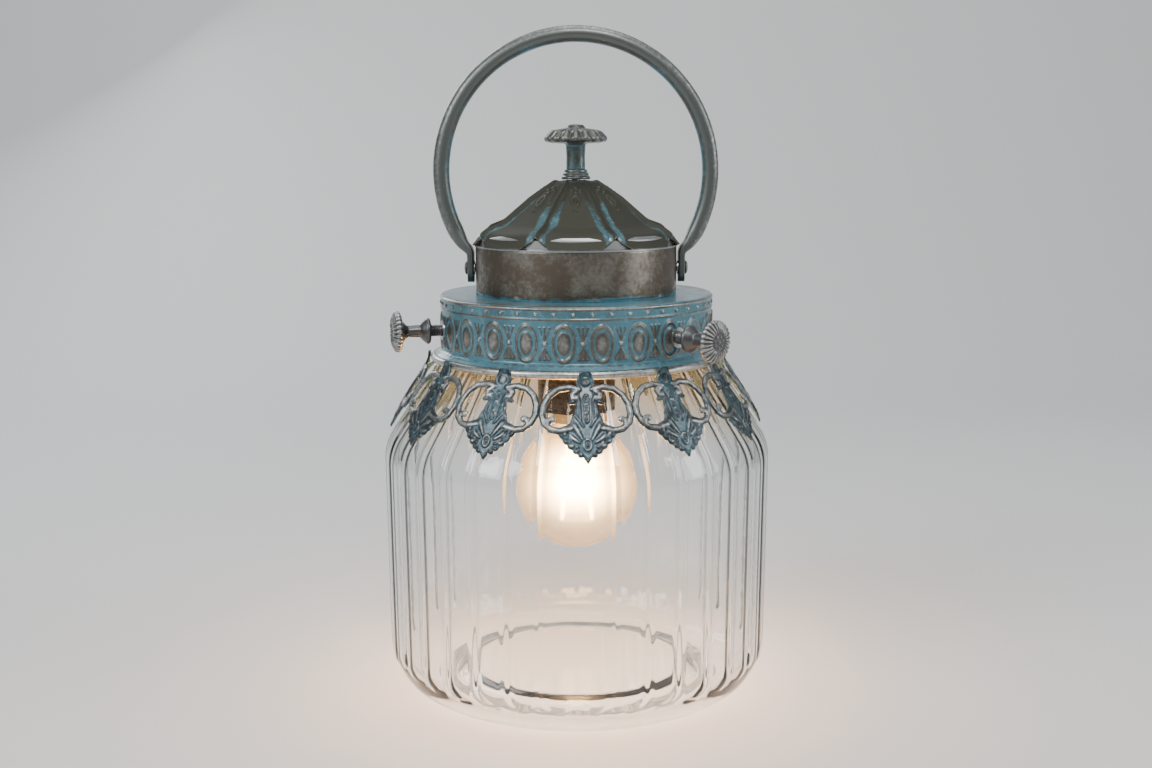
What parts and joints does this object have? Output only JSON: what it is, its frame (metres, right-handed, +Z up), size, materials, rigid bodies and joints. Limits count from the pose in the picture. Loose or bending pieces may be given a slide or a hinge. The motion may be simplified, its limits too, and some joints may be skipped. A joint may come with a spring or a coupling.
{
  "type": "oil lamp style lantern",
  "caption": "Electric lantern in oil-lamp style: fluted glass jar, lift-off embossed head with thumbscrews, pierced skirt, gored roof, swinging bail and lit globe bulb.",
  "frame": {"origin": "centre of the jar's foot, on the surface it stands on", "axes": "+Z up, front towards -Y, bail pivots along X"},
  "size_m": [0.1864, 0.1864, 0.3167],
  "materials": {
    "jar_glass": "clear, fluted, faint grey tint",
    "patina_metal": "dark bronze with teal verdigris in the recesses and bright worn edges",
    "skirt_metal": "pierced metal, teal verdigris with silvery worn scrolls",
    "roof_metal": "dark bronze panels, verdigris valleys, worn ribs",
    "drum_metal": "worn bronze brown, satin",
    "bail_metal": "dark grey-green, worn and spotted",
    "knob_metal": "gunmetal, worn bright on its high points",
    "bulb_glass": "clear amber",
    "filament_glow": "lit filament strip",
    "cap_metal": "rolled screw shell",
    "contact_metal": "plain brass",
    "steel_fixings": "zinc plated",
    "seat_rubber": "matt soft rubber",
    "holder_black": "dark moulded",
    "tray_plastic": "black moulded",
    "slider_plastic": "pale moulded",
    "cell_case": "plain wrapped cell",
    "wire_cover": "insulated wire"
  },
  "bodies": {
    "jar": {"glass_jar": "jar_glass"},
    "head": {"rim_seat": "seat_rubber", "collar_band": "patina_metal", "skirt_ring": "patina_metal", "filigree_skirt": "skirt_metal", "screw_bushes": "steel_fixings", "drum": "drum_metal", "chassis_plate": "steel_fixings", "chassis_screws": "steel_fixings", "bail_rivets": "knob_metal", "bail_washers": "steel_fixings", "lamp_nipple": "steel_fixings", "nipple_nuts": "steel_fixings", "lamp_holder": "holder_black", "lamp_contact": "contact_metal", "bulb_cap": "cap_metal", "bulb_tip": "contact_metal", "bulb_globe": "bulb_glass", "bulb_stem": "bulb_glass", "led_filaments": "filament_glow", "battery_tray": "tray_plastic", "batteries": "cell_case", "battery_plates": "contact_metal", "battery_springs": "steel_fixings", "switch_housing": "tray_plastic", "feed_wires": "wire_cover"},
    "bail_handle": {"bail": "bail_metal"},
    "roof": {"canopy": "roof_metal", "canopy_locating_ring": "roof_metal", "finial_collar": "roof_metal", "finial_knob": "knob_metal", "finial_stud": "steel_fixings", "finial_washer": "steel_fixings", "finial_nut": "steel_fixings"},
    "switch_button": {"switch_slider": "slider_plastic"},
    "screw_right_thread": {"screw_right_shank": "steel_fixings"},
    "screw_right_head": {"screw_right_knob": "knob_metal"},
    "screw_left_thread": {"screw_left_shank": "steel_fixings"},
    "screw_left_head": {"screw_left_knob": "knob_metal"},
    "screw_back_thread": {"screw_back_shank": "steel_fixings"},
    "screw_back_head": {"screw_back_knob": "knob_metal"}
  },
  "joints": [
    {"name": "head_lift", "type": "slide", "parent": "jar", "child": "head", "axis": [0, 0, 1], "range_m": [0, 0.13]},
    {"name": "roof_lift", "type": "slide", "parent": "head", "child": "roof", "axis": [0, 0, 1], "range_m": [0, 0.03]},
    {"name": "bail_swing", "type": "hinge", "parent": "head", "child": "bail_handle", "pos_m": [0, 0, 0.2035], "axis": [1, 0, 0], "range_deg": [-100, 100]},
    {"name": "switch_slide", "type": "slide", "parent": "head", "child": "switch_button", "axis": [0, 1, 0], "range_m": [0, 0.004]},
    {"name": "screw_right_advance", "type": "slide", "parent": "head", "child": "screw_right_thread", "axis": [0.7071, -0.7071, 0], "range_m": [0, 0.0031]},
    {"name": "screw_right_turn", "type": "hinge", "parent": "screw_right_thread", "child": "screw_right_head", "pos_m": [0.05042, -0.05042, 0.1755], "axis": [0.7071, -0.7071, 0], "range_deg": [0, 1080]},
    {"name": "screw_left_advance", "type": "slide", "parent": "head", "child": "screw_left_thread", "axis": [-0.9659, -0.2588, 0], "range_m": [0, 0.0031]},
    {"name": "screw_left_turn", "type": "hinge", "parent": "screw_left_thread", "child": "screw_left_head", "pos_m": [-0.06887, -0.01845, 0.1755], "axis": [-0.9659, -0.2588, 0], "range_deg": [0, 1080]},
    {"name": "screw_back_advance", "type": "slide", "parent": "head", "child": "screw_back_thread", "axis": [0.2588, 0.9659, 0], "range_m": [0, 0.0031]},
    {"name": "screw_back_turn", "type": "hinge", "parent": "screw_back_thread", "child": "screw_back_head", "pos_m": [0.01845, 0.06887, 0.1755], "axis": [0.2588, 0.9659, 0], "range_deg": [0, 1080]}
  ],
  "couplings": [
    {"joint": "screw_right_advance", "follows": "screw_right_turn", "m_per_rad": 0.00015915},
    {"joint": "screw_left_advance", "follows": "screw_left_turn", "m_per_rad": 0.00015915},
    {"joint": "screw_back_advance", "follows": "screw_back_turn", "m_per_rad": 0.00015915}
  ]
}
